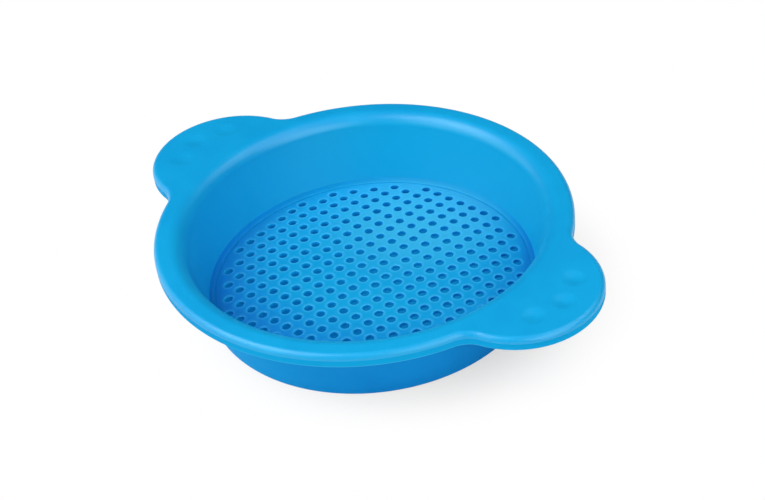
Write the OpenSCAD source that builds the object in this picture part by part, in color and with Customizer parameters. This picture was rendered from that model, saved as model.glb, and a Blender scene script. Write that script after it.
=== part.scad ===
// Sand sieve: a round perforated dish with a rolled rim and two ear-shaped handles.
// The real object is one plastic moulding. Each module below is one region of it,
// and the regions meet face to face.
// Frame: origin on the ground under the middle of the dish, +Z up, +X through the right handle.

/* [Rim] */
// Outer diameter of the rim, without the handles
rim_d = 210; // [190:1:240]
// Height of the rim's flat top above the ground
rim_h = 43.2; // [36:0.2:60]
// Width of the rim's flat top, between the mouth's rounding and the rolled edge
rim_flat_w = 4.1; // [2:0.1:10]
// Radius of the rolled outer edge of the rim and the handles
edge_r = 3; // [2.4:0.1:5]
// Length of the straight skirt below the rolled edge
skirt_h = 3.7; // [0.5:0.1:6]
// Radius of the rounding where the wall turns into the flat rim
lip_r = 8; // [5:0.5:11]

/* [Wall] */
// Outward lean of the wall from the vertical, in degrees
wall_draft = 11; // [6:0.5:12]
// Thickness of the wall, the rim and the handles
wall_t = 1.8; // [1.4:0.1:2.2]

/* [Floor] */
// Thickness of the floor
floor_t = 1.8; // [1.4:0.1:2.4]
// Height of the foot ring under the floor
foot_h = 2.6; // [2:0.1:5]
// Radius of the foot ring's outer lower edge
foot_round = 1; // [0.4:0.1:1.2]
// Radius of the inside corner between the floor and the wall
corner_r = 2.5; // [1.5:0.1:4]
// Width of the plain border between the perforated plate and the corner rounding
border_w = 0.8; // [0.4:0.1:4]
// Rise of the perforated plate's middle above its edge
crown_h = 2.4; // [1.5:0.1:4]
// Diameter of the plate's flat middle
crown_flat_d = 80; // [60:1:100]

/* [Holes] */
// Diameter of one sieve hole
hole_d = 4.2; // [3:0.1:5]
// Distance between neighbouring holes, along the handles and across them
hole_pitch = 8.13; // [7.6:0.01:12]
// Plain band between the plate's edge and the centres of the outermost holes
hole_margin = 3; // [3:0.1:12]

/* [Handles] */
// Radius of a handle's round end
handle_r = 41.5; // [36:0.5:48]
// How far a handle reaches past the rim
handle_reach = 31; // [24:0.5:36]
// Radius of the hollow curve between a handle and the rim
handle_fillet_r = 14; // [10:0.5:24]
// Diameter of one finger dimple
dimple_d = 13; // [9:0.5:15]
// Depth of one finger dimple
dimple_depth = 0.9; // [0.5:0.1:1.2]
// Distance of a dimple's centre from the handle's outer edge
dimple_inset = 15; // [13:0.5:18]
// Angle between neighbouring dimples, in degrees
dimple_step = 38; // [34:1:42]

/* [Hidden] */
$fn = 180;

// Colours of the moulding, all the same blue plastic in slightly different light
wall_blue = [0.08, 0.60, 0.86];
rim_blue = [0.10, 0.66, 0.89];
floor_blue = [0.14, 0.66, 0.90];

// Half a turn, in degrees
half_turn = 180;

rim_r = rim_d / 2;
// Radius where the flat rim ends and the rolled edge begins
rim_flat_r = rim_r - edge_r;

// Centre of the lip's rounding, and the point where the rounding runs into the wall's inner face
lip_x = rim_flat_r - rim_flat_w;
lip_z = rim_h - lip_r;
lip_foot_x = lip_x - lip_r * cos(wall_draft);
lip_foot_z = lip_z + lip_r * sin(wall_draft);

// Radius of the wall's inner and outer face at height z
function wall_in(z) = lip_foot_x - (lip_foot_z - z) * tan(wall_draft);
function wall_out(z) = wall_in(z) + wall_t / cos(wall_draft);
// How far the wall's outer face drops from a point square across to it on the inner face
wall_drop = wall_t * sin(wall_draft);

// The foot's rounding touches the ground and the wall's outer face
foot_x = wall_out(foot_round) - foot_round / cos(wall_draft);

// The floor's top at its border, and the corner rounding that joins it to the wall
floor_z = foot_h + floor_t;
corner_z = floor_z + corner_r;
corner_top_z = corner_z - corner_r * sin(wall_draft);
corner_x = wall_in(corner_top_z) - corner_r * cos(wall_draft);
plate_r = corner_x - border_w;

// The plate's shoulder is an arc that starts level at the flat middle and ends at the border
crown_flat_r = crown_flat_d / 2;
crown_run = plate_r - crown_flat_r;
crown_arc_r = (crown_run * crown_run + crown_h * crown_h) / (2 * crown_h);

// Centre of a handle's round end, and of the hollow curve that joins it to the rim
handle_x = rim_r + handle_reach - handle_r;
fillet_from_rim = rim_r + handle_fillet_r;
fillet_from_handle = handle_r + handle_fillet_r;
fillet_x = (pow(fillet_from_rim, 2) - pow(fillet_from_handle, 2) + pow(handle_x, 2)) / (2 * handle_x);
fillet_y = sqrt(pow(fillet_from_rim, 2) - pow(fillet_x, 2));
// Half the angle that a handle takes up, seen from the dish's centre and from its own
handle_half_a = atan2(fillet_y, fillet_x);
handle_end_a = atan2(fillet_y, fillet_x - handle_x);

// Distance of the dimples from the centre of the handle's round end
dimple_ring_r = handle_r - dimple_inset;
// Radius of the ball whose cap is one dimple
dimple_ball_r = (pow(dimple_d / 2, 2) + pow(dimple_depth, 2)) / (2 * dimple_depth);

// Flat pie slice from angle a0 to a1 (under 180 degrees apart) that reaches past radius r
module pie(r, a0, a1) {
    reach = 2 * r;
    polygon([
        [0, 0],
        [reach * cos(a0), reach * sin(a0)],
        [reach * cos((a0 + a1) / 2), reach * sin((a0 + a1) / 2)],
        [reach * cos(a1), reach * sin(a1)]
    ]);
}

// Part of a flat ring, wall_t wide, from angle a0 to a1
module bend(outer_r, a0, a1) {
    intersection() {
        difference() {
            circle(r = outer_r);
            circle(r = outer_r - wall_t);
        }
        pie(outer_r, a0, a1);
    }
}

// Section of the rolled edge. Its outer face is at x = 0, the inside of the rim at negative x
module edge_section() {
    translate([-edge_r, rim_h - edge_r])
        bend(edge_r, 0, half_turn / 2);
    translate([-wall_t, rim_h - edge_r - skirt_h])
        square([wall_t, skirt_h]);
}

// Rolled edge along an arc that bulges outwards
module outer_edge(line_r, a0, a1) {
    rotate([0, 0, a0])
        rotate_extrude(angle = a1 - a0)
            translate([line_r, 0])
                edge_section();
}

// Rolled edge along a hollow arc
module hollow_edge(line_r, a0, a1) {
    rotate([0, 0, a0])
        rotate_extrude(angle = a1 - a0)
            translate([line_r, 0])
                mirror([1, 0])
                    edge_section();
}

// Flat rim between the handles, on the side of +Y
module rim_arc() {
    translate([0, 0, rim_h - wall_t])
        linear_extrude(wall_t)
            intersection() {
                difference() {
                    circle(r = rim_flat_r);
                    circle(r = lip_x);
                }
                pie(rim_flat_r, handle_half_a, half_turn - handle_half_a);
            }
}

// Outline of a handle's flat top, which takes the rim with it as far as the lip
module handle_outline() {
    difference() {
        union() {
            translate([handle_x, 0])
                circle(r = handle_r - edge_r);
            difference() {
                polygon([
                    [0, 0], [fillet_x, fillet_y], [handle_x, 0], [fillet_x, -fillet_y]
                ]);
                for (side = [-1, 1])
                    translate([fillet_x, side * fillet_y])
                        circle(r = handle_fillet_r + edge_r);
            }
        }
        circle(r = lip_x);
    }
}

// Places its children at the three dimples of the right handle
module at_dimples() {
    for (i = [-1:1])
        translate([handle_x, 0, rim_h])
            rotate([0, 0, i * dimple_step])
                translate([dimple_ring_r, 0, dimple_ball_r - dimple_depth])
                    children();
}

module handle() {
    difference() {
        union() {
            translate([0, 0, rim_h - wall_t])
                linear_extrude(wall_t)
                    handle_outline();
            // The wall stays as thick under a dimple as beside it
            intersection() {
                at_dimples() sphere(r = dimple_ball_r + wall_t);
                translate([handle_x, 0, rim_h - wall_t - 2 * dimple_depth])
                    cylinder(r = handle_r - edge_r, h = 2 * dimple_depth + wall_t / 2);
            }
        }
        at_dimples() sphere(r = dimple_ball_r);
    }
}

module handle_edge() {
    union() {
        translate([handle_x, 0, 0])
            outer_edge(handle_r, -handle_end_a, handle_end_a);
        for (side = [0, 1])
            mirror([0, side, 0])
                translate([fillet_x, fillet_y, 0])
                    hollow_edge(handle_fillet_r, half_turn + handle_half_a, half_turn + handle_end_a);
    }
}

module sieve_plate() {
    holes = floor((plate_r - hole_margin) / hole_pitch);
    color(floor_blue)
        difference() {
            rotate_extrude() {
                translate([0, floor_z + crown_h - floor_t])
                    square([crown_flat_r, floor_t]);
                intersection() {
                    translate([crown_flat_r, floor_z + crown_h - crown_arc_r])
                        difference() {
                            circle(r = crown_arc_r);
                            circle(r = crown_arc_r - floor_t);
                        }
                    translate([crown_flat_r, 0])
                        square([crown_run, rim_h]);
                }
            }
            for (i = [-holes:holes], j = [-holes:holes])
                if (norm([i, j]) * hole_pitch <= plate_r - hole_margin)
                    translate([i * hole_pitch, j * hole_pitch, 0])
                        cylinder(d = hole_d, h = rim_h);
        }
}

module floor_corner() {
    color(floor_blue)
        rotate_extrude()
            difference() {
                polygon([
                    [plate_r, foot_h],
                    [wall_out(foot_h), foot_h],
                    [wall_out(corner_top_z - wall_drop), corner_top_z - wall_drop],
                    [wall_in(corner_top_z), corner_top_z],
                    [corner_x, corner_z],
                    [corner_x, floor_z],
                    [plate_r, floor_z]
                ]);
                translate([corner_x, corner_z])
                    circle(r = corner_r);
            }
}

module foot_ring() {
    color(wall_blue)
        rotate_extrude() {
            polygon([
                [wall_in(0), 0],
                [foot_x, 0],
                [foot_x, foot_round],
                [foot_x + foot_round * cos(wall_draft), foot_round - foot_round * sin(wall_draft)],
                [wall_out(foot_h), foot_h],
                [wall_in(foot_h), foot_h]
            ]);
            translate([foot_x, foot_round])
                circle(r = foot_round);
        }
}

module side_wall() {
    color(wall_blue)
        rotate_extrude()
            polygon([
                [wall_in(corner_top_z), corner_top_z],
                [wall_out(corner_top_z - wall_drop), corner_top_z - wall_drop],
                [wall_out(lip_foot_z - wall_drop), lip_foot_z - wall_drop],
                [wall_in(lip_foot_z), lip_foot_z]
            ]);
}

module mouth_lip() {
    color(rim_blue)
        rotate_extrude()
            translate([lip_x, lip_z])
                bend(lip_r, half_turn / 2, half_turn - wall_draft);
}

module back_rim() {
    color(rim_blue) rim_arc();
}

module front_rim() {
    color(rim_blue) mirror([0, 1, 0]) rim_arc();
}

module back_rim_edge() {
    color(rim_blue) outer_edge(rim_r, handle_half_a, half_turn - handle_half_a);
}

module front_rim_edge() {
    color(rim_blue) mirror([0, 1, 0]) outer_edge(rim_r, handle_half_a, half_turn - handle_half_a);
}

module right_handle() {
    color(rim_blue) handle();
}

module left_handle() {
    color(rim_blue) mirror([1, 0, 0]) handle();
}

module right_handle_edge() {
    color(rim_blue) handle_edge();
}

module left_handle_edge() {
    color(rim_blue) mirror([1, 0, 0]) handle_edge();
}

sieve_plate();
floor_corner();
foot_ring();
side_wall();
mouth_lip();
front_rim();
back_rim();
front_rim_edge();
back_rim_edge();
right_handle();
left_handle();
right_handle_edge();
left_handle_edge();
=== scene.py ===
import bpy, math
import numpy as np
from mathutils import Euler, Matrix, Vector
from mathutils.geometry import delaunay_2d_cdt


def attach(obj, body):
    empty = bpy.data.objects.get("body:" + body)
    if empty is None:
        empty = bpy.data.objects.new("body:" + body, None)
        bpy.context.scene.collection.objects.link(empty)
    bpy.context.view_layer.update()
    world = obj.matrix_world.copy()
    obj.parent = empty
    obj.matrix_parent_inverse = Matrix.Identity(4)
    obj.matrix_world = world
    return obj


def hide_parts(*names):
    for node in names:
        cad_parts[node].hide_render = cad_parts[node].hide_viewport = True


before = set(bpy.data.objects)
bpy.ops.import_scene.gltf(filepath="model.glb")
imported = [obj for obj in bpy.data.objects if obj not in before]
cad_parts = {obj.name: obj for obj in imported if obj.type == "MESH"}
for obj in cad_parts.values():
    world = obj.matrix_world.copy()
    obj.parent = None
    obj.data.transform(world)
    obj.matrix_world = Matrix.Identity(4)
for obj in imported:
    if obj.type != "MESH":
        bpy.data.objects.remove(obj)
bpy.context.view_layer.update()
print("frame loaded,", len(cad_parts), "nodes")

# Lengths are in millimetres, in the frame of the part's source, where no note says otherwise
mm = 0.001


class Wire:
    # one output of a node; sums and products of wires add Math nodes
    def __init__(self, mat, socket):
        self.mat, self.socket = mat, socket

    def maths(self, operation, *values):
        return self.mat.add("Math", {"operation": operation}, dict(enumerate(values)))[0]

    def __add__(self, other):
        return self.maths("ADD", self, other)

    def __radd__(self, other):
        return self.maths("ADD", other, self)

    def __sub__(self, other):
        return self.maths("SUBTRACT", self, other)

    def __rsub__(self, other):
        return self.maths("SUBTRACT", other, self)

    def __mul__(self, other):
        return self.maths("MULTIPLY", self, other)

    def __rmul__(self, other):
        return self.maths("MULTIPLY", other, self)

    def __truediv__(self, other):
        return self.maths("DIVIDE", self, other)

    def __pow__(self, other):
        return self.maths("POWER", self, other)

    def __lt__(self, other):
        return self.maths("LESS_THAN", self, other)

    def round(self):
        return self.maths("ROUND", self)

    def root(self):
        return self.maths("SQRT", self)

    def size(self):
        return self.maths("ABSOLUTE", self)

    def smooth(self, start, end):
        # 0 at start, 1 at end, and soft between
        return self.mat.add("MapRange", {"interpolation_type": "SMOOTHSTEP"},
                            {"Value": self, "From Min": start, "From Max": end})[0]


class Finish:
    # a material, or the world, that is built node by node
    def __init__(self, name, shelf=bpy.data.materials):
        self.material = shelf.new(name)
        self.material.use_nodes = True
        self.tree = self.material.node_tree
        self.tree.nodes.clear()

    def add(self, kind, settings=None, sockets=None):
        # sockets go by name, or by number where several share a name; the node's outputs come back
        node = self.tree.nodes.new("ShaderNode" + kind)
        for name, value in (settings or {}).items():
            setattr(node, name, value)
        for name, value in (sockets or {}).items():
            if isinstance(value, Wire):
                self.tree.links.new(value.socket, node.inputs[name])
            else:
                node.inputs[name].default_value = value
        return [Wire(self, out) for out in node.outputs]

    def mix(self, share, first, second):
        # a colour between two others
        return self.add("Mix", {"data_type": "RGBA"}, {0: share, 6: first, 7: second})[2]

    def noise(self, place, scale, detail):
        return self.add("TexNoise", None, {"Vector": place, "Scale": scale, "Detail": detail})[0]

    def spot(self):
        # a point's place on the object, as a vector in metres and as x, y and z in millimetres
        place = self.add("TexCoord")[3]                 # object coordinates
        x, y, z = self.add("SeparateXYZ", None, {"Vector": place})
        return place, x / mm, y / mm, z / mm

    def seen(self):
        # what the camera sees straight, and what it sees in a gloss or through something clear
        path = self.add("LightPath")
        straight, glossy, through = path[0], path[3], path[6]
        return straight, glossy + through


def apart(x, y, heart):
    # distance from a place
    return ((x - heart[0]) ** 2 + (y - heart[1]) ** 2).root()


# The camera stands where a fit to the rim, the foot and the grid of holes puts it

view = {
    "place": (406.653, -400.116, 462.587),
    "turn": (49.7672, 1.1342, 34.7775),     # in degrees, about x, y and z
    "lens": 65.585,
    "film": 36.0,
    "shift": (-0.232, 0.0588),              # the photo is cut from a larger picture
    "clip": (0.01, 20.0),                   # in metres
}


def makeCamera():
    lens = bpy.data.cameras.new("camera")
    lens.lens, lens.sensor_width = view["lens"], view["film"]
    lens.shift_x, lens.shift_y = view["shift"]
    lens.clip_start, lens.clip_end = view["clip"]
    shot = bpy.data.objects.new("camera", lens)
    turned = Euler([math.radians(v) for v in view["turn"]]).to_matrix().to_4x4()
    shot.matrix_world = Matrix.Translation(Vector(view["place"]) * mm) @ turned
    bpy.context.collection.objects.link(shot)
    bpy.context.scene.camera = shot


makeCamera()
print("camera set")


# The holes lie on a square grid, and the plate and its plastic share them

holes = {
    "pitch": 8.13,
    "radius": 2.1,
    "lastRing": 90,         # a hole is at i, j of the grid where i*i + j*j is no more than this
}

plastic = {
    "blue": (0.005, 0.375, 0.74, 1.0),
    "deepBlue": (0.004, 0.345, 0.71, 1.0),
    "highlightBlue": (0.045, 0.47, 0.83, 1.0),
    "seamShadeBlue": (0.003, 0.20, 0.52, 1.0),
    "sheen": (0.75, 0.92, 1.0, 1.0),        # tint of the gloss
    # green is the share of the two blues' green that a finish keeps
    "satin": {"roughness": 0.33, "gloss": 0.58, "green": 1.0},      # inside and on top
    "matt": {"roughness": 0.60, "gloss": 0.03, "green": 1.0},       # skirt
    "under": {"roughness": 0.60, "gloss": 0.05, "green": 0.80},     # outside, underneath and in the holes; its lower green is painted shade
    "corner": {"roughness": 0.60, "gloss": 0.10, "green": 1.0},     # between floor and wall
    "ior": 1.49,
    # noises: scale and detail
    "flow": (14.0, 4.0),
    "cloud": (55.0, 3.0),
    "grain": (2600.0, 2.0),
    "scuffs": (160.0, 5.0),
    "brush": (1.0, 7.0, 1.0),               # scuffs are drawn out, in this ratio
    "brushTurn": 0.6,                       # and this way, in radians
    "flowShare": 0.7,                       # in the mottle of the two blues, and the rest is cloud
    "mottled": (0.40, 0.62),                # from all deep blue to all blue
    "cloudRough": 0.05,                     # what clouds and scuffs add to the roughness
    "scuffRough": 0.10,
    "scuffed": (0.58, 0.72),                # from no scuff to all scuff
    "bump": 0.12,
    "bumpHigh": 0.05,
    "cloudBump": 2.0,                       # height of the clouds, where the grain's is 1
    # each patch of painted light or shade has its middle, from where to where it grows, and its colour
    "paintedLight": {
        # painted shade makes the floor's blue deeper in front and to the left, a painted sheen makes it paler
        # at the back, and painted shade makes it deeper in the corner
        "floor": (((-9.4, 26.1), (58.0, 100.0), (0.005, 0.215, 0.71, 1.0)),
                  ((-11.1, 52.9), (66.0, 15.0), (0.04, 0.46, 0.77, 1.0)),
                  ((-10.0, 10.0), (76.0, 86.0), (0.005, 0.20, 0.60, 1.0))),
        # painted light makes the inside of the wall lighter at the back and right, and the outside lighter to
        # the left
        "satin": (((20.0, 40.0), (130.0, 90.0), (0.005, 0.415, 0.72, 1.0)),),
        "under": (((-62.0, -63.0), (122.0, 55.0), (0.004, 0.39, 0.83, 1.0)),),
        "matt": (),
    },
    "paintedLightShare": 0.9,
    # these places follow the shell's sizes, which stand further down
    "paintedLightTop": (6.2, 1.2),                  # the painted light and shade fade out from here to here below the flat top
    "lowEdgeHighlight": (0.4, 0.8),                  # and the skirt's painted highlight line does above the skirt's lower end
    "seam": (0.05, 0.2, 0.7, 0.6),          # painted shade line by the corner: distance, half width, faded, share
    "halo": (0.9, 1.7, 0.55),               # painted highlight ring round a hole: full and faded past its edge, share
    "haloLost": 0.6,                        # share of the painted highlight rings that the floor's first painted shade takes away
}


def paintLightAndShade(mat, colour, x, y, z, paintedLight):
    # paints light and shade; the new colour comes back, and the share that each patch has in it
    belowLip = 1 - z.smooth(*(shell["top"] - below for below in plastic["paintedLightTop"]))
    shares = []
    for heart, grows, paintedColour in paintedLight:
        shares.append(apart(x, y, heart).smooth(*grows) * plastic["paintedLightShare"])
        colour = mat.mix(shares[-1] * belowLip, colour, paintedColour)
    return colour, shares


def paintSeamShade(mat, colour, x, y):
    # a painted shade line in the corner where the wall meets the floor
    beyond, half, faded, share = plastic["seam"]
    offSeam = (apart(x, y, (0.0, 0.0)) - (cornerX + beyond)).size().smooth(half, faded)
    return mat.mix((1 - offSeam) * share, colour, plastic["seamShadeBlue"])


def paintHalos(mat, colour, x, y, lost):
    # a painted highlight ring round each hole, fainter where the floor's first painted shade lies
    u, v = x / holes["pitch"], y / holes["pitch"]
    i, j = u.round(), v.round()
    there = i * i + j * j < holes["lastRing"] + 0.5     # whole numbers, so the last ring is in
    full, faded, share = plastic["halo"]
    fromHole = apart(u, v, (i, j)) * holes["pitch"]
    halo = there * (1 - fromHole.smooth(holes["radius"] + full, holes["radius"] + faded)) * (1 - lost)
    return mat.mix(halo * share, colour, plastic["highlightBlue"])


def makePlastic(name, finish, holed=False):
    # holed is for the floor and the corner round it
    mat, look = Finish(name), plastic[finish]
    place, x, y, z = mat.spot()
    flow, cloud, grain = (mat.noise(place, *plastic[kind]) for kind in ("flow", "cloud", "grain"))
    brushed = mat.add("Mapping", None, {"Vector": place, "Scale": plastic["brush"],
                                        "Rotation": (0.0, 0.0, plastic["brushTurn"])})[0]
    scuffs = mat.noise(brushed, *plastic["scuffs"]).smooth(*plastic["scuffed"])
    rough = look["roughness"] + plastic["cloudRough"] * (cloud - 0.5) + plastic["scuffRough"] * scuffs
    mottle = flow * plastic["flowShare"] + cloud * (1 - plastic["flowShare"])
    deep, plain = [(r, g * look["green"], b, a) for r, g, b, a in (plastic["deepBlue"], plastic["blue"])]
    colour = mat.mix(mottle.smooth(*plastic["mottled"]), deep, plain)
    if finish == "matt":
        # a painted highlight line along the skirt's lower edge
        pale = 1 - z.smooth(*(endZ + above for above in plastic["lowEdgeHighlight"]))
        colour = mat.mix(pale, colour, plastic["highlightBlue"])
    # painted light and shade: patches lighter or darker by place on the floor, the corner and the walls
    paintedLight = plastic["paintedLight"]["floor" if holed else finish]
    colour, shares = paintLightAndShade(mat, colour, x, y, z, paintedLight)
    colour = paintSeamShade(mat, colour, x, y)
    if holed:
        colour = paintHalos(mat, colour, x, y, shares[0] * plastic["haloLost"])
    height = grain + cloud * plastic["cloudBump"]
    bump = mat.add("Bump", None, {"Strength": plastic["bump"], "Distance": plastic["bumpHigh"] * mm,
                                  "Height": height})[0]
    shader = mat.add("BsdfPrincipled", None, {
        "Base Color": colour, "Roughness": rough, "Normal": bump, "IOR": plastic["ior"],
        "Specular IOR Level": look["gloss"], "Specular Tint": plastic["sheen"]})[0]
    mat.add("OutputMaterial", None, {"Surface": shader})
    return mat.material


tiny = 1e-6             # keeps a division away from zero, and is fine enough for the triangles


def turn(angles):
    # unit vectors at angles in radians, as rows
    return np.stack([np.cos(angles), np.sin(angles)], -1)


def allRound(count):
    # so many of them, evenly all round
    return turn(np.linspace(0, 2 * math.pi, count, endpoint=False))


class Skin:
    # points with their normals, and the faces between them with the name of their look
    def __init__(self):
        self.points, self.normals, self.count = [], [], 0
        self.faces, self.looks = [], []

    def add(self, points, normals):
        # the number of the first new point comes back
        self.points.append(points)
        self.normals.append(normals / np.linalg.norm(normals, axis=1)[:, None])
        self.count += len(points)
        return self.count - len(points)

    def cover(self, face, look):
        self.faces.append(face)
        self.looks.append(look)

    def band(self, upper, lower, around, look, inwards=False):
        # faces between two closed lines of as many points; inwards is for the wall of a hole
        for c in range(around):
            d = (c + 1) % around
            face = (upper + c, lower + c, lower + d, upper + d)
            self.cover(face[:1] + face[:0:-1] if inwards else face, look)

    def weld(self):
        # one point wherever several meet, to a thousandth of a millimetre
        points, normals = np.concatenate(self.points), np.concatenate(self.normals)
        _, first, place = np.unique(np.round(points, 3), axis=0, return_index=True, return_inverse=True)
        place = place.reshape(-1)
        self.points, self.normals = [points[first]], [normals[first]]
        self.faces = [tuple(int(place[k]) for k in face) for face in self.faces]

    def piece(self, name, materials):
        # materials go by the looks' names
        mesh = bpy.data.meshes.new(name)
        mesh.from_pydata((np.concatenate(self.points) * mm).tolist(), [], self.faces)
        mesh.polygons.foreach_set("use_smooth", [True] * len(mesh.polygons))
        mesh.normals_split_custom_set_from_vertices(np.concatenate(self.normals).tolist())
        for material in materials.values():
            mesh.materials.append(material)
        numbers = {look: number for number, look in enumerate(materials)}
        mesh.polygons.foreach_set("material_index", [numbers[look] for look in self.looks])
        mesh.validate(clean_customdata=False)
        mesh.update()
        made = bpy.data.objects.new(name, mesh)
        bpy.context.collection.objects.link(made)
        return made


# The shell is the foot, wall, lip, rim and handles in one skin

shell = {
    "rimR": 105.0, "top": 43.2, "flatWide": 4.1, "edgeR": 3.0, "skirt": 3.7, "lipR": 8.0,
    "wall": 1.8, "draft": math.radians(11.0),
    "floorThick": 1.8, "foot": 2.6, "footR": 1.0, "cornerR": 2.5, "borderWide": 0.8,
    "handleR": 41.5, "handleReach": 31.0, "filletR": 14.0,
    "dimpleR": 6.5, "dimpleInset": 15.0, "dimpleStep": math.radians(38.0),
    "dimpleDeep": {1: 0.9, -1: 0.45},       # on the right handle and on the left one
    "dimpleSpread": 1.06,                   # a dimple fades out at so many times its radius
    "endR": 0.45,                           # rounding of the skirt's lower edge
    "ridge": 0.05, "ridgeWide": 0.8,        # witness line of the mould round the wall's foot
    "ridgeUp": 0.1,                         # and how far it is above the corner
    "wallTop": 0.985,                       # share of its height where the wall's outside joins the lip's
    "footInR": 0.25,                        # inner rounding of the foot
    "nook": ((0.3, 0.3), (0.7, 0.2)),       # between foot and floor: distance from the foot, lean
    "arcStep": math.radians(1.5),           # along the rim
    # how many lines or points each stretch has
    "steps": {"handle": 46, "fillet": 14, "corner": 9, "ridge": 9, "wall": 12, "lip": 16, "flat": 40,
              "edge": 10, "skirt": 5, "skirtEnd": 5, "edgeUnder": 6, "flatUnder": 20, "lipUnder": 12,
              "wallUnder": 10, "foot": 7, "footIn": 4},
}
steps, draft = shell["steps"], shell["draft"]
lean = math.tan(draft)
lipX = shell["rimR"] - shell["edgeR"] - shell["flatWide"]   # the middle of the lip's rounding
lipZ = shell["top"] - shell["lipR"]
lipEndX = lipX - shell["lipR"] * math.cos(draft)            # where the lip meets the wall
lipEndZ = lipZ + shell["lipR"] * math.sin(draft)
lipIn = shell["lipR"] - shell["wall"]
edgeZ = shell["top"] - shell["edgeR"]
endZ = edgeZ - shell["skirt"]
handleX = shell["rimR"] + shell["handleReach"] - shell["handleR"]
floorZ = shell["foot"] + shell["floorThick"]


def wallIn(z):
    return lipEndX - (lipEndZ - z) * lean


def wallOut(z):
    return wallIn(z) + shell["wall"] / math.cos(draft)


cornerZ = floorZ + shell["cornerR"]
cornerTop = cornerZ - shell["cornerR"] * math.sin(draft)
cornerX = wallIn(cornerTop) - shell["cornerR"] * math.cos(draft)
plateR = cornerX - shell["borderWide"]


def outline():
    # the rim's and handles' outer line, all round, with its outward normals
    far, near = shell["rimR"] + shell["filletR"], shell["handleR"] + shell["filletR"]
    x = (far ** 2 - near ** 2 + handleX ** 2) / (2 * handleX)
    y = math.sqrt(far ** 2 - x ** 2)
    rimEnd, handleEnd = math.atan2(y, x), math.atan2(y, x - handleX)
    ear = turn(np.linspace(0, handleEnd, steps["handle"]))
    hollow = turn(np.linspace(math.pi + handleEnd, math.pi + rimEnd, steps["fillet"]))
    rim = turn(np.linspace(rimEnd, math.pi / 2, int((math.pi / 2 - rimEnd) / shell["arcStep"])))
    line = np.concatenate([ear * shell["handleR"] + (handleX, 0), (hollow * shell["filletR"] + (x, y))[1:],
                           (rim * shell["rimR"])[1:]])
    out = np.concatenate([ear, -hollow[1:], rim[1:]])
    for flip in ((-1, 1), (1, -1)):
        line = np.concatenate([line, (line * flip)[::-1][1:]])
        out = np.concatenate([out, (out * flip)[::-1][1:]])
    return line[:-1], out[:-1]


outer, outwards = outline()
seat = outer - shell["edgeR"] * outwards                # where the flat top ends
spoke = seat / np.hypot(*seat.T)[:, None]               # straight out from the dish's middle


def dimpleDrop(spots):
    # how far the skin dips at the given points of the handles' flat tops, and the slope there
    drop, slope = np.zeros(len(spots)), np.zeros((len(spots), 2))
    ringR, reach = shell["handleR"] - shell["dimpleInset"], shell["dimpleR"] * shell["dimpleSpread"]
    for side, deep in shell["dimpleDeep"].items():
        for i in (-1, 0, 1):
            a = i * shell["dimpleStep"]
            gap = spots - np.array([side * (handleX + ringR * math.cos(a)), ringR * math.sin(a)])
            t = np.clip(1 - (gap ** 2).sum(1) / reach ** 2, 0, 1)
            drop += deep * t ** 2
            slope += (2 * deep * t)[:, None] * (-2 * gap) / reach ** 2
    return drop, slope


class Wrap(Skin):
    # a skin of closed lines round the object; look is the look of the next band
    def __init__(self, look):
        super().__init__()
        self.look, self.last = look, None

    def line(self, flat, z, sideways, up):
        heights, rises = np.broadcast_to(z, len(flat)), np.full(len(flat), up)
        start = self.add(np.column_stack([flat, heights]), np.column_stack([sideways, rises]))
        if self.last is not None:
            self.band(self.last, start, len(flat), self.look)
        self.last = start

    def ring(self, r, z, sideways, up):
        # at distance r from the middle
        self.line(spoke * r, z, spoke * sideways, up)

    def edge(self, beyond, z, sideways, up):
        # at a distance beyond the outer line, or inside it where that is negative
        self.line(outer + outwards * beyond, z, outwards * sideways, up)

    def flat(self, z, face, shares):
        # across the flat rim and handles; face is 1 on top and -1 underneath
        start = spoke * lipX
        for share in shares:
            spots = start + (seat - start) * share
            drop, slope = dimpleDrop(spots)
            self.line(spots, z - drop, slope * face, face)

    def bend(self, line, hub, hubZ, r, start, end, count, face=1, skip=0):
        # a rounding about a hub, drawn with ring or edge; face is -1 where it looks at the hub
        for a in np.linspace(start, end, count)[skip:]:
            way, up = math.cos(a), math.sin(a)
            line(hub + r * way, hubZ + r * up, face * way, face * up)


def addInside(wrap):
    # from the plate's border up to the flat rim
    wrap.ring(plateR, floorZ, 0, 1)
    for t in np.linspace(0, 1, steps["corner"]):
        a = (math.pi / 2 - draft) * t
        b = (math.pi / 2 - draft) * (1 - (1 - t) ** 4)     # it takes the wall's shade early
        wrap.ring(cornerX + shell["cornerR"] * math.sin(a), cornerZ - shell["cornerR"] * math.cos(a),
                  -math.sin(b), math.cos(b))
    wrap.look = "satin"
    for k in np.linspace(0, 2 * math.pi, steps["ridge"]):
        z = cornerTop + shell["ridgeUp"] + shell["ridgeWide"] * k / (2 * math.pi)
        raised = shell["ridge"] * (1 - math.cos(k)) / 2
        slant = shell["ridge"] * math.pi * math.sin(k) / shell["ridgeWide"]
        wrap.ring(wallIn(z) - raised, z, -1, lean - slant)
    for z in np.linspace(z, lipEndZ, steps["wall"])[1:-1]:
        wrap.ring(wallIn(z), z, -math.cos(draft), math.sin(draft))
    wrap.bend(wrap.ring, lipX, lipZ, shell["lipR"], math.pi - draft, math.pi / 2, steps["lip"])


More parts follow.
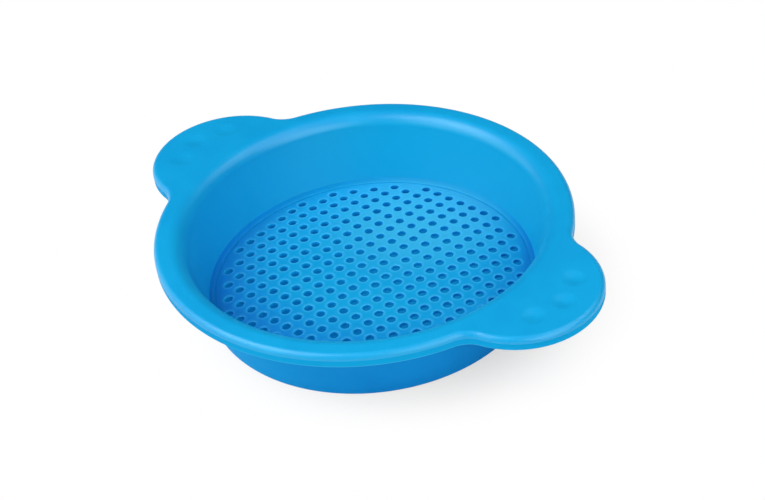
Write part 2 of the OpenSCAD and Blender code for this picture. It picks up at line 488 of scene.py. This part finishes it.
def addRim(wrap):
    # flat top, rolled edge, and the skirt's outside and inside
    wrap.flat(shell["top"], 1, np.linspace(0, 1, steps["flat"])[1:-1])
    wrap.bend(wrap.edge, -shell["edgeR"], edgeZ, shell["edgeR"], math.pi / 2, 0, steps["edge"])
    wrap.look = "matt"                                  # all below the rolled edge
    endR = shell["endR"]
    for z in np.linspace(edgeZ, endZ + endR, steps["skirt"])[1:-1]:
        wrap.edge(0, z, 1, 0)
    wrap.bend(wrap.edge, -endR, endZ + endR, endR, 0, -math.pi / 2, steps["skirtEnd"])
    wrap.bend(wrap.edge, endR - shell["wall"], endZ + endR, endR, -math.pi / 2, -math.pi, steps["skirtEnd"])
    wrap.edge(-shell["wall"], edgeZ, -1, 0)
    wrap.look = "under"
    wrap.bend(wrap.edge, -shell["edgeR"], edgeZ, shell["edgeR"] - shell["wall"],
              0, math.pi / 2, steps["edgeUnder"], face=-1, skip=1)


def addUnderside(wrap):
    # under the flat rim, the lip and the wall, down to the foot
    wrap.flat(shell["top"] - shell["wall"], -1, np.linspace(1, 0, steps["flatUnder"])[1:-1])
    wrap.bend(wrap.ring, lipX, lipZ, lipIn, math.pi / 2, math.pi - draft, steps["lipUnder"], face=-1)
    low, high = shell["footR"] * (1 - math.sin(draft)), lipZ + lipIn * math.sin(draft)
    for k in np.linspace(shell["wallTop"], 0, steps["wallUnder"])[:-1]:
        z = low + (high - low) * k
        wrap.ring(wallOut(z), z, math.cos(draft), -math.sin(draft))


def addFoot(wrap):
    # outer and inner rounding of the foot, and the plate's border from below
    hub = wallOut(shell["footR"]) - shell["footR"] / math.cos(draft)
    wrap.bend(wrap.ring, hub, shell["footR"], shell["footR"], -draft, -math.pi / 2, steps["foot"])
    wrap.bend(wrap.ring, wallIn(0) + shell["footInR"], shell["footInR"], shell["footInR"],
              -math.pi / 2, -math.pi, steps["footIn"])
    (below, belowLean), (beside, besideLean) = shell["nook"]
    wrap.ring(wallIn(shell["foot"]) - below, shell["foot"] - below, -1, -belowLean)
    wrap.ring(wallIn(shell["foot"]) - beside, shell["foot"], -besideLean, -1)
    wrap.ring(plateR, shell["foot"], 0, -1)


def makeShell(materials):
    wrap = Wrap("corner")
    addInside(wrap)
    addRim(wrap)
    addUnderside(wrap)
    addFoot(wrap)
    wrap.band(wrap.last, 0, len(outer), wrap.look)      # the last line joins the first, along the border
    return wrap.piece("sieveShell", materials)


underBlue = makePlastic("underBlue", "under")
shellPiece = makeShell({
    "satin": makePlastic("satinBlue", "satin"),
    "matt": makePlastic("mattBlue", "matt"),
    "under": underBlue,
    "corner": makePlastic("cornerBlue", "corner", holed=True),
})
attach(shellPiece, "root")
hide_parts("floor_corner", "foot_ring", "side_wall", "mouth_lip", "front_rim", "back_rim",
            "front_rim_edge", "back_rim_edge", "right_handle", "left_handle", "right_handle_edge",
            "left_handle_edge")
print("shell made,", len(shellPiece.data.polygons), "faces")


# The plate is the dish's floor with its holes

plate = {
    "crown": 2.4, "flatR": 40.0,            # the middle is flat, and the rest falls away in an arc
    "mouthR": 0.5, "mouthSteps": 6,         # rounding of a hole's upper edge
    "exitR": 0.2, "exitSteps": 3,           # and of its lower edge
    "mouthBands": 2,                        # so much of the upper rounding has the floor's look
    "sides": 24,
    "spare": (120, 0.6),                    # points in a ring near the border, and how far inside it
    "within": 0.98,                         # a face whose middle is so deep in a hole is left out
}
crownRun = plateR - plate["flatR"]
crownArc = (crownRun ** 2 + plate["crown"] ** 2) / (2 * plate["crown"])
border = spoke * plateR                                 # the same points as the shell has there


def crownShape(r, below):
    # height at radius r, so far below the plate's top, and the way it slopes outwards
    beyond = np.maximum(np.asarray(r, float) - plate["flatR"], 0)
    rise = np.sqrt((crownArc - below) ** 2 - beyond ** 2)
    return floorZ + plate["crown"] - crownArc + rise, beyond / rise


def holeSpots():
    reach = range(-math.isqrt(holes["lastRing"]), math.isqrt(holes["lastRing"]) + 1)
    return [(i * holes["pitch"], j * holes["pitch"]) for i in reach for j in reach
            if i * i + j * j <= holes["lastRing"]]


def addPlateFace(skin, spots, below, clear, face):
    # top or underside of the plate, between the border and circles of radius clear round the holes
    flat = [Vector(v) for v in border]
    loops = [list(range(len(border)))]
    for spot in spots:
        loops.append(list(range(len(flat), len(flat) + plate["sides"])))
        flat += [Vector(v) for v in allRound(plate["sides"]) * clear + spot]
    count, inside = plate["spare"]                      # these keep the triangles short
    flat += [Vector(v) for v in allRound(count) * (plateR - inside)]
    edges = [(loop[k], loop[(k + 1) % len(loop)]) for loop in loops for k in range(len(loop))]
    made, _, triangles, _, _, _ = delaunay_2d_cdt(flat, edges, [], 0, tiny)
    made = np.array([(v.x, v.y) for v in made])
    r = np.hypot(*made.T)
    z, fall = crownShape(r, below)
    way = made / np.maximum(r, tiny)[:, None]
    normals = np.column_stack([way * fall[:, None], np.ones(len(made))]) * face
    start = skin.add(np.column_stack([made, z]), normals)
    centres = np.array(spots)
    for triangle in triangles:
        middle = made[list(triangle)].mean(0)
        nearest = ((centres - middle) ** 2).sum(1).min()
        if nearest < (clear * plate["within"]) ** 2 or np.hypot(*middle) > plateR:
            continue
        a, b, c = (made[k] for k in triangle)
        turned = (b[0] - a[0]) * (c[1] - a[1]) - (b[1] - a[1]) * (c[0] - a[0])
        order = triangle if (turned > 0) == (face > 0) else triangle[::-1]
        skin.cover(tuple(start + k for k in order), "floor")


def holeProfile():
    # lines down a hole's wall: radius, depth, the normal's shares outwards and up, and how far the
    # depth starts below the plate's top
    profile = []
    for a in np.linspace(0, math.pi / 2, plate["mouthSteps"]):
        sine, cosine = math.sin(a), math.cos(a)
        radius, depth = holes["radius"] + plate["mouthR"] * (1 - sine), plate["mouthR"] * (1 - cosine)
        profile.append((radius, depth, -sine, cosine, 0.0))
    for a in np.linspace(0, math.pi / 2, plate["exitSteps"]):
        sine, cosine = math.sin(a), math.cos(a)
        radius, depth = holes["radius"] + plate["exitR"] * (1 - cosine), -plate["exitR"] * (1 - sine)
        profile.append((radius, depth, -cosine, -sine, shell["floorThick"]))
    return profile


def addHoleWalls(skin, spots):
    sides, sideWays = plate["sides"], allRound(plate["sides"])
    profile = holeProfile()
    for spot in spots:
        for k, (radius, depth, outward, up, below) in enumerate(profile):
            ring = sideWays * radius + spot
            r = np.hypot(*ring.T)
            z, fall = crownShape(r, below)
            way = ring / np.maximum(r, tiny)[:, None]
            normals = np.column_stack([sideWays * outward + way * (fall * up)[:, None], np.full(sides, up)])
            start = skin.add(np.column_stack([ring, z - depth]), normals)
            if k > 0:
                look = "floor" if k <= plate["mouthBands"] else "under"
                skin.band(start - sides, start, sides, look, inwards=True)


def addBorder(skin):
    starts = []
    for below in (0.0, shell["floorThick"]):
        z = crownShape(np.full(len(border), plateR), below)[0]
        starts.append(skin.add(np.column_stack([border, z]), np.column_stack([spoke, np.zeros(len(border))])))
    skin.band(*starts, len(border), "under")


def makePlate(materials):
    skin, spots = Skin(), holeSpots()
    addPlateFace(skin, spots, 0.0, holes["radius"] + plate["mouthR"], 1)
    addPlateFace(skin, spots, shell["floorThick"], holes["radius"] + plate["exitR"], -1)
    addHoleWalls(skin, spots)
    addBorder(skin)
    skin.weld()
    return skin.piece("sievePlate", materials)


platePiece = makePlate({"floor": makePlastic("floorBlue", "satin", holed=True), "under": underBlue})
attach(platePiece, "root")
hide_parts("sieve_plate")
print("plate made,", len(platePiece.data.polygons), "faces")


stage = {
    "floorSize": 12.0,                      # in metres
    "white": (1.0, 1.0, 1.0, 1.0),
    "black": (0.0, 0.0, 0.0, 1.0),
    "paper": (0.74, 0.74, 0.74, 1.0),       # what the paper throws back on the dish
    "warmShadowPaper": (1.0, 0.73, 0.43, 1.0),    # painted warm tint of the dish's shadow: what the eye sees of the paper close to the dish, and white elsewhere
    "warmth": 0.9,                          # share of the painted shadow tint there, and the grain adds the rest
    "grain": (300.0, 3.0),                  # noise: scale and detail
    "grained": (0.35, 0.65),
    "underDish": (0.01, 0.30, 0.66, 1.0),   # painted blue light: paper coloured as in the blue light that comes down through the plastic
    "underHeart": (0.003, 0.215, 0.52, 1.0),    # the painted glow of that light itself, in the middle
    "underGlow": (0.001, 0.115, 0.38, 1.0),     # and further out
    "underMiddle": (20.0, 20.0),
    "underFade": (15.0, 80.0),              # from heart to glow
    "underEdge": (0.4, 1.1),                # it ends beneath the foot, so far from the foot's inside
    "glow": 0.58,                           # share of plain white that the eye sees on the paper by the dish
    "shadeHeart": (19.0, 9.0),              # the shade lies round this place
    "fade": (60.0, 122.0),                  # from here to here the paper goes all white
    "world": 0.01,                          # dim light of the room
    "sheetTop": (0.0, 0.05),                # gloss sees white up to here: sines of the angle over the horizon
}


def makePaper():
    paper = Finish("whitePaper")
    place, x, y, _ = paper.spot()
    beyondFoot = apart(x, y, (0.0, 0.0)).smooth(*(wallIn(0) + out for out in stage["underEdge"]))
    nearby = 1 - apart(x, y, stage["shadeHeart"]).smooth(*stage["fade"])
    straight, mirrored = paper.seen()
    seen = straight + mirrored
    grain = paper.noise(place, *stage["grain"]).smooth(*stage["grained"])
    # the painted warm tint of the shadow near the dish
    warm = nearby * (stage["warmth"] + (1 - stage["warmth"]) * grain)
    sheet = paper.mix(seen, stage["paper"], paper.mix(warm, stage["white"], stage["warmShadowPaper"]))
    lit = paper.add("BsdfPrincipled", None, {
        "Base Color": paper.mix(beyondFoot, stage["underDish"], sheet), "Specular IOR Level": 0.0})[0]
    # a painted glow of blue light on the paper under the dish, lighter in the middle
    away = apart(x, y, stage["underMiddle"]).smooth(*stage["underFade"])
    under = paper.mix(away, stage["underHeart"], stage["underGlow"])
    glow = paper.add("BsdfPrincipled", None, {
        "Base Color": stage["black"], "Specular IOR Level": 0.0,
        "Emission Color": paper.mix(beyondFoot, under, stage["white"]), "Emission Strength": 1.0})[0]
    share = 1 - beyondFoot * nearby * (1 - stage["glow"])   # under the dish the painted glow is all that is seen
    above = paper.add("MixShader", None, {0: seen * share, 1: lit, 2: glow})[0]
    # from below the paper is clear, so that the underside can be looked at
    clear = paper.add("BsdfTransparent", None, {"Color": stage["white"]})[0]
    fromBelow = paper.add("NewGeometry")[6]             # backfacing
    either = paper.add("MixShader", None, {0: fromBelow, 1: above, 2: clear})[0]
    paper.add("OutputMaterial", None, {"Surface": either})
    return paper.material


def makeFloor():
    half = stage["floorSize"] / 2
    corners = [(-half, -half, 0), (half, -half, 0), (half, half, 0), (-half, half, 0)]
    mesh = bpy.data.meshes.new("floor")
    mesh.from_pydata(corners, [], [(0, 1, 2, 3)])
    mesh.materials.append(makePaper())
    floor = bpy.data.objects.new("floor", mesh)
    bpy.context.collection.objects.link(floor)


lamps = {
    # azimuth and elevation in degrees, distance and diameter in metres, power in watts
    "leftHigh": (-135.0, 55.0, 1.3, 0.8, 5.6),
    "left": (-110.0, 35.0, 1.3, 1.2, 7.0),
    "middleTop": (-95.0, 65.0, 1.3, 0.4, 1.3),
    "leftLow": (-152.0, 18.0, 1.3, 1.2, 3.6),
    "leftTop": (-165.0, 60.0, 1.3, 0.4, 0.75),
    "right": (-15.0, 30.0, 1.3, 1.2, 9.0),
    "rightHigh": (40.0, 55.0, 1.3, 1.2, 5.4),
    "rightTop": (70.0, 60.0, 1.3, 0.4, 0.3),
}


def makeLamps():
    for name, (azimuth, elevation, distance, diameter, power) in lamps.items():
        lamp = bpy.data.lights.new(name, "AREA")
        lamp.shape, lamp.size, lamp.energy = "DISK", diameter, power
        holder = bpy.data.objects.new(name, lamp)
        a, e = math.radians(azimuth), math.radians(elevation)
        way = Vector((math.cos(a) * math.cos(e), math.sin(a) * math.cos(e), math.sin(e)))
        holder.location = way * distance
        holder.rotation_mode = "QUATERNION"
        holder.rotation_quaternion = way.to_track_quat("Z", "Y")
        holder.visible_camera = False
        bpy.context.collection.objects.link(holder)


def makeWorld():
    # the camera sees white all round, and gloss sees it up to the sheet's top
    room = Finish("studio", bpy.data.worlds)
    dim = room.add("Background", None, {"Color": stage["white"], "Strength": stage["world"]})[0]
    bright = room.add("Background", None, {"Color": stage["white"], "Strength": 1.0})[0]
    ray = room.add("TexCoord")[0]                       # the way that it goes
    height = room.add("SeparateXYZ", None, {"Vector": ray})[2]
    straight, mirrored = room.seen()
    seen = straight + mirrored * (1 - height.smooth(*stage["sheetTop"]))
    both = room.add("MixShader", None, {0: seen, 1: dim, 2: bright})[0]
    room.add("OutputWorld", None, {"Surface": both})
    bpy.context.scene.world = room.material


makeFloor()
makeLamps()
makeWorld()
bpy.context.scene.view_settings.view_transform = "Standard"
print("floor and lamps set")
